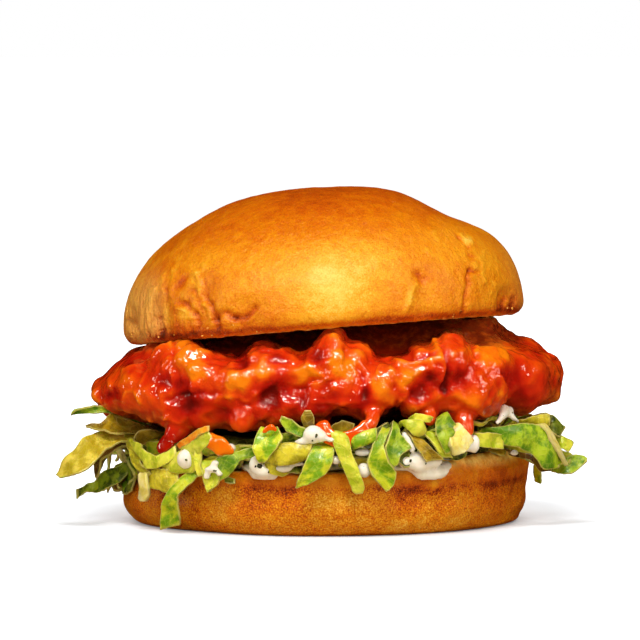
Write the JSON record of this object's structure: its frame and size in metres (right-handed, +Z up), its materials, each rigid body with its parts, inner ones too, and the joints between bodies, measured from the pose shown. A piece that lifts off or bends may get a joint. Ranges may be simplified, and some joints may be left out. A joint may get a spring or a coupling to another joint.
{
  "type": "chicken burger",
  "caption": "Fried chicken burger: a craggy fillet in hot sauce on shredded lettuce and ranch sauce, between two halves of a round glazed bun.",
  "frame": {"origin": "the middle of the flat underside of the bottom bun, on the surface that the burger stands on", "axes": "+Z up through the layers, +X along the fillet's length to the right end, -Y towards the front, where the top bun is raised"},
  "size_m": [0.1442, 0.1269, 0.0912],
  "materials": {
    "bun_base": "baked bread crust, golden brown and speckled, dull satin",
    "ranch": "thick creamy white sauce with dark herb specks, wet",
    "lettuce": "crisp leaf, satin, from cream ribs to deep green",
    "sauced_chicken": "fried crust under a glossy orange red hot sauce",
    "bun_crown": "egg glazed bread crust, golden, soft sheen"
  },
  "bodies": {
    "root": {"bottom_bun": "bun_base", "ranch_sauce": "ranch", "lettuce": "lettuce", "chicken_fillet": "sauced_chicken", "top_bun": "bun_crown"}
  },
  "joints": []
}
